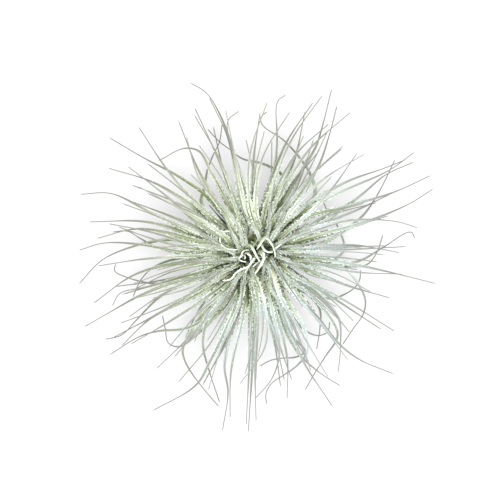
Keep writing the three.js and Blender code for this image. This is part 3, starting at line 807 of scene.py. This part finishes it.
# Each kind of leaf: cover of scales, how grey its tips are, where its dark teeth (painted shade between the
# edge scales) thin out, how cream it is.
leafTones = {
    "lower": (0.1, 1, (0.2, 0.6), 0),
    "outer": (0.22, 0.95, (0.3, 0.65), 0),
    "middle": (0.3, 0.9, (0.3, 0.65), 0),
    "crown": (0.38, 0.8, (0.3, 0.65), 0),
    "heart": (0.6, 0, (0.7, 1.1), 0.25),
}
leafMaterials = {kind: leafMaterial(kind + "Leaf", *tone) for kind, tone in leafTones.items()}
white = hairMaterial()
print("leaf and scale materials")


# extra: for more leaves, the whorl they grow like, their entry in fill and their width beside that whorl's.
def makeWhorl(name, kind, rows, extra, centre, inner, seed):
    dice = random.Random(seed)
    bm = newLeafBmesh()
    addCollar(bm, whorls[kind]["collar"], inner, centre)
    addWhorl(bm, whorls[kind], rows, centre, dice)
    for like, more, scale in extra:
        addWhorl(bm, whorls[like], fillRows(fill[more]), centre, dice, scale)
    print(name, len(rows), "leaves and", sum(fill[more]["count"] for _, more, _ in extra), "finer ones")
    return finishMesh(bm, name, leafMaterials[kind])


heart = {
    "tipWidth": 0.5,
    "taper": 3,  # above 1 it narrows late
    "channel": 0.16,  # beside the width
    "thickness": 0.2,  # beside the width
    "thinnest": 0.42,
    "twist": 30,  # degrees at the tip, at most, either way
    "steps": 8,
    "bottom": 26.4,
    "base": [(0.3, 4.2), (1.2, 3.8), (2, 2), (2.4, 0), (0.3, 0)],  # radius and height above its lowest point
    "young": {"count": 6, "start": 10, "sweep": 360, "reach": (6, 12)},  # short leaves that stand round it
    "youngSeed": 31,  # times the heart's own
    "youngRoot": 1.5,
    "youngBend": 0.8,  # how far out their middle is, beside how far its draw says
    "youngHeights": (27, 35, 42),
    "youngWidth": 2.1,
    "youngScatter": (0.8, 1.1),  # of that width
}


def heartSize(share, width):
    across = heart["tipWidth"] + (width - heart["tipWidth"]) * (1 - clamp(share) ** heart["taper"])
    return across, heart["channel"] * across, max(heart["thinnest"], heart["thickness"] * across) / 2


def makeHeart(name, rows, centre, seed):
    dice = random.Random(seed)
    bm = newLeafBmesh()
    for width, *points in rows:
        points = [Vector(p) for p in points]
        sideways = (points[1] - points[0]).cross(Vector((0, 0, 1))).normalized() * -1
        addBlade(bm, smoothPath(points, heart["steps"]), sideways, lambda share: heartSize(share, width), 0,
                 dice.random(), dice.uniform(-heart["twist"], heart["twist"]))
    for row in fillRows({**heart["young"], "seed": seed * heart["youngSeed"]}):
        azimuths, reaches = zip(*row[1:])
        reaches = (heart["youngRoot"], reaches[1] * heart["youngBend"], reaches[2])
        spots = [polar(*spot) + centre for spot in zip(azimuths, reaches, heart["youngHeights"])]
        width = heart["youngWidth"] * dice.uniform(*heart["youngScatter"])
        addBlade(bm, smoothPath(spots, heart["steps"]), polar(azimuths[0] + 90, 1),
                 lambda share: bladeSize(share, width), 0, dice.random(), 0)
    addRing(bm, [(x, heart["bottom"] + z) for x, z in heart["base"]], centre)
    print(name, len(rows), "curled leaves and", heart["young"]["count"], "young ones")
    return finishMesh(bm, name, leafMaterials["heart"])


# How the painted shade is found: rays cast upwards from each place, and its depth below the crowns' leaves.
shadeCasting = {
    "rays": 12,
    "tilt": 44,  # degrees from straight up that the light comes from, at most
    "clear": 1.1,  # nearer than this is the leaf itself
    "reach": 16,  # how near another leaf shades this one
    "canopy": 0.45,  # how much the depth below the crowns' leaves counts
    "canopyReach": (6, 60),  # distances from the axis between which their height is taken
    "canopyStart": 5,  # below them
    "canopyDepth": 18,  # from there to the full depth
    "canopyEdge": 40,  # distance from the axis at which it ends
    "canopyFade": 20,  # how far inside that it is full
}


# How far below the crowns' leaves a place is, from 0 to 1; it adds to the painted shade.
def depthAt(place):
    reach = place.to_2d().length
    nearest, farthest = shadeCasting["canopyReach"]
    canopy = heightAt(whorls["crown"]["heights"], max(nearest, min(farthest, reach)))
    below = clamp((canopy - shadeCasting["canopyStart"] - place.z) / shadeCasting["canopyDepth"])
    return below * clamp((shadeCasting["canopyEdge"] - reach) / shadeCasting["canopyFade"])


# Marks how closely the leaves above shade each place, as painted shade: there the blade is painted darker
# and greener and grows fewer scales and hairs.
def markPaintedShade(pieces):
    bm = bmesh.new()
    for piece in pieces:
        bm.from_mesh(piece.data)
    leaves = BVHTree.FromBMesh(bm)
    bm.free()
    rays = []
    for i in range(shadeCasting["rays"]):
        tilt = radians(shadeCasting["tilt"]) * ((i + 0.5) / shadeCasting["rays"]) ** 0.5
        rays.append(polar(i * goldenAngle, sin(tilt), cos(tilt)))
    clear, reach = shadeCasting["clear"] * mm, shadeCasting["reach"] * mm
    for piece in pieces:
        paintedShade = piece.data.attributes["paintedShade"].data
        fuzz = piece.data.attributes["fuzz"].data
        for v in piece.data.vertices:
            shade = 0
            for ray in rays:
                distance = leaves.ray_cast(v.co + ray * clear, ray, reach)[3]
                if distance is not None:
                    shade += (1 - distance / reach) ** 0.5 / shadeCasting["rays"]
            depth = max(shade, shadeCasting["canopy"] * depthAt(v.co / mm))
            paintedShade[v.index].value = depth
            # Painted shade too: fewer hairs grow where it is shaded.
            fuzz[v.index].value *= (1 - depth) ** 2


plantAxis = Vector()
stemReach, stalkReach = 3.5, 1.8  # the inner radius of collars round the stem and round its two stalks
leafPieces = {
    "lower_leaves": makeWhorl("lowerLeaves", "lower", lowerLeaves + fillRows(fill["lower"]),
                              [("lower", "lowerBracts", 0.9)], plantAxis, stemReach, 1),
    "outer_leaves": makeWhorl("outerLeaves", "outer", outerLeaves + fillRows(fill["outer"]),
                              [("outer", "outerFine", 0.72), ("outer", "outerBracts", 0.85)],
                              plantAxis, stemReach, 2),
    "middle_leaves": makeWhorl("middleLeaves", "middle", middleLeaves + fillRows(fill["middle"]),
                               [("middle", "middleFine", 0.76), ("middle", "middleBracts", 0.8)],
                               plantAxis, stemReach, 3),
    "left_crown_leaves": makeWhorl("leftCrownLeaves", "crown", leftCrownLeaves + fillRows(fill["left"]),
                                   [("crown", "leftFine", 0.76), ("inner", "leftInner", 1),
                                    ("innermost", "leftYoung", 1)], leftCrown, stalkReach, 4),
    "right_crown_leaves": makeWhorl("rightCrownLeaves", "crown", rightCrownLeaves + fillRows(fill["right"]),
                                    [("crown", "rightFine", 0.76), ("inner", "rightInner", 1),
                                     ("innermost", "rightYoung", 1)], rightCrown, stalkReach, 5),
    "left_heart_leaves": makeHeart("leftHeartLeaves", leftHeartLeaves, leftCrown, 6),
    "right_heart_leaves": makeHeart("rightHeartLeaves", rightHeartLeaves, rightCrown, 7),
}
markPaintedShade(leafPieces.values())
print("depths marked")

hairFaces = hairs["sides"] * 2  # its sides and as many underneath
for i, (node, piece) in enumerate(leafPieces.items()):
    coat = growHairs(piece, piece.name + "Scales", white, i)
    for each in (piece, coat):
        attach(each, "root")
    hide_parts(node)
    print(piece.name, len(coat.data.polygons) // hairFaces, "hairs")


# The stem and its roots.
stem = {
    "profile": [(0, 0), (5.2, 0), (5.9, 0.5), (5.8, 1.6), (4.4, 3), (3.3, 4.1), (3.1, 8), (3.15, 14),
                (3.1, 20), (2, 20.9), (0, 21)],
    "stalk": [(0, 20), (1.9, 20.2), (1.45, 21.4), (1.4, 26.4), (0, 26.9)],
    "steps": 40,
    "stalkSteps": 20,
    "bark": 0.28,  # how rough
    "barkHeights": (0.2, 20),  # between which it is so
    "barkScales": (900, 2400),
    "merged": 1e-6,  # metres within which vertices are one
    "brown": shown(112, 90, 66),
    "brownDark": shown(62, 48, 36),
    "brownPale": shown(168, 150, 122),
    "paleShare": 0.6,
    "greenTop": shown(40, 46, 24),
    "greenHeights": (0.012, 0.02),  # metres
    "fibreStretch": (1, 1, 0.35),
    "fibreScale": 1400,
    "patchScale": 300,
    "bump": 0.8,
    "bumpHeight": 0.0004,  # metres
    "roughness": 0.88,
    "roots": {
        "each": [  # azimuth, length and how far it bends aside
            (15, 11, 3), (70, 8, -3), (118, 13, 4), (172, 9, -4), (222, 12, 3), (275, 10, -2), (330, 9, 4),
        ],
        "course": [  # distance out, then share of the length, height and share of the bend
            (3.5, 0, 2, 0), (6.8, 0, 1.7, 0), (6, 0.5, 1.15, 0.6), (6, 1, 0.65, 1),
        ],
        "radius": 0.5,
        "taper": 0.72,
        "sides": 8,
        "steps": 8,
        "wave": 0.5,  # how far they bend to and fro
        "waveLift": 0.3,  # up and down beside that
        "waveTurns": (0.9, 0.6),  # radians a step, up and down and sideways
        "waveStart": 6,  # steps until it is full
    },
}


def rootPath(roots, azimuth, length, bend):
    sideways = polar(azimuth + 90, 1)
    points = [polar(azimuth, out + length * share, height) + sideways * bend * bent
              for out, share, height, bent in roots["course"]]
    path = smoothPath(points, roots["steps"])
    rising, swinging = roots["waveTurns"]
    lift = Vector((0, 0, roots["waveLift"]))
    for i, spot in enumerate(path):
        wave = lift * sin(i * rising + azimuth) + sideways * cos(i * swinging + azimuth)
        spot += wave * roots["wave"] * clamp(i / roots["waveStart"])
    return path


def addRoot(bm, roots, path):
    sides = roots["sides"]
    bmesh.ops.create_circle(bm, cap_ends=True, segments=sides, radius=roots["radius"] * mm)
    bm.faces.ensure_lookup_table()
    face = bm.faces[-1]
    for i, centre in enumerate(path):
        forward = (path[min(i + 1, len(path) - 1)] - path[max(i - 1, 0)]).normalized()
        turn = forward.to_track_quat("Z", "Y")
        radius = roots["radius"] * (1 - roots["taper"] * i / len(path))
        if i:
            face = bmesh.ops.extrude_discrete_faces(bm, faces=[face])["faces"][0]
        for k, v in enumerate(face.verts):
            spot = Vector((cos(2 * pi * k / sides), sin(2 * pi * k / sides), 0)) * radius
            v.co = (centre + turn @ spot) * mm


def makeStem():
    bm = bmesh.new()
    spinProfile(bm, stem["profile"], Vector(), stem["steps"], False)
    for centre in (leftCrown, rightCrown):
        spinProfile(bm, stem["stalk"], centre, stem["stalkSteps"], False)
    bmesh.ops.remove_doubles(bm, verts=bm.verts, dist=stem["merged"])
    bmesh.ops.recalc_face_normals(bm, faces=bm.faces)
    low, high = stem["barkHeights"]
    coarse, fine = stem["barkScales"]
    for v in bm.verts:
        if low * mm < v.co.z < high * mm:
            out = v.co.xy.normalized().to_3d()
            rough = abs(noise.noise(v.co * coarse) + noise.noise(v.co * fine) * 0.5)
            v.co -= out * stem["bark"] * mm * rough
    for root in stem["roots"]["each"]:
        addRoot(bm, stem["roots"], rootPath(stem["roots"], *root))
    return bm


def barkMaterial():
    shader = Shader("bark")
    place = shader.objectPlace()
    stretched = shader.node("ShaderNodeMapping", {}, {"Vector": place, "Scale": stem["fibreStretch"]})
    fibres = shader.noise(stretched, stem["fibreScale"], 4, 0.65)
    patches = shader.noise(place, stem["patchScale"])
    height = shader.node("ShaderNodeSeparateXYZ", {}, {0: place}, 2)
    colour = shader.mix(fibres.ramp(0.3, 0.7), stem["brownDark"], stem["brown"])
    colour = shader.mix(patches.ramp(0.5, 0.8) * stem["paleShare"], colour, stem["brownPale"])
    colour = shader.mix(height.ramp(*stem["greenHeights"]), colour, stem["greenTop"])
    bump = shader.bump(stem["bump"], stem["bumpHeight"], fibres)
    return shader.finish({"Base Color": colour, "Roughness": stem["roughness"], "Normal": bump})


stemPiece = finishMesh(makeStem(), "stemWithRoots", barkMaterial())
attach(stemPiece, "root")
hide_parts("stem_with_roots")
print("stem and roots")


# The floor and the light.
studio = {
    "floorSize": 6,  # metres
    "floorColour": (0.25, 0.25, 0.25, 1),
    "floorRoughness": 0.9,
    "floorGlow": 0.5,  # a light table, so that hardly any shadow falls on it
    "glowColour": (1, 1, 1, 1),
    "skyStrength": 0.82,
    "skyColour": (1, 0.992, 0.98, 1),
    "lamps": [  # azimuth, elevation, distance and size in metres, watts, colour
        (-50, 82, 2.2, 1.2, 92, (0.97, 0.99, 1)),
    ],
}


def makeStudio():
    bm = bmesh.new()
    bmesh.ops.create_grid(bm, x_segments=1, y_segments=1, size=studio["floorSize"] / 2)
    shader = Shader("floorPaper")
    paper = shader.finish({"Base Color": studio["floorColour"], "Roughness": studio["floorRoughness"],
                           "Emission Color": studio["glowColour"], "Emission Strength": studio["floorGlow"]})
    floor = finishMesh(bm, "floor", paper)
    world = bpy.data.worlds.new("studio")
    world.use_nodes = True
    sky = world.node_tree.nodes["Background"].inputs
    sky["Color"].default_value = studio["skyColour"]
    sky["Strength"].default_value = studio["skyStrength"]
    bpy.context.scene.world = world
    for azimuth, elevation, distance, size, watts, colour in studio["lamps"]:
        data = bpy.data.lights.new("lamp", "AREA")
        data.energy, data.size, data.color = watts, size, colour
        lamp = bpy.data.objects.new("lamp", data)
        away, up = distance * cos(radians(elevation)), distance * sin(radians(elevation))
        lamp.location = polar(azimuth, away, up)
        lamp.rotation_euler = lamp.location.to_track_quat("Z", "Y").to_euler()
        bpy.context.scene.collection.objects.link(lamp)


makeStudio()
bpy.context.scene.view_settings.view_transform = "Standard"
print("floor and light")

print("done")
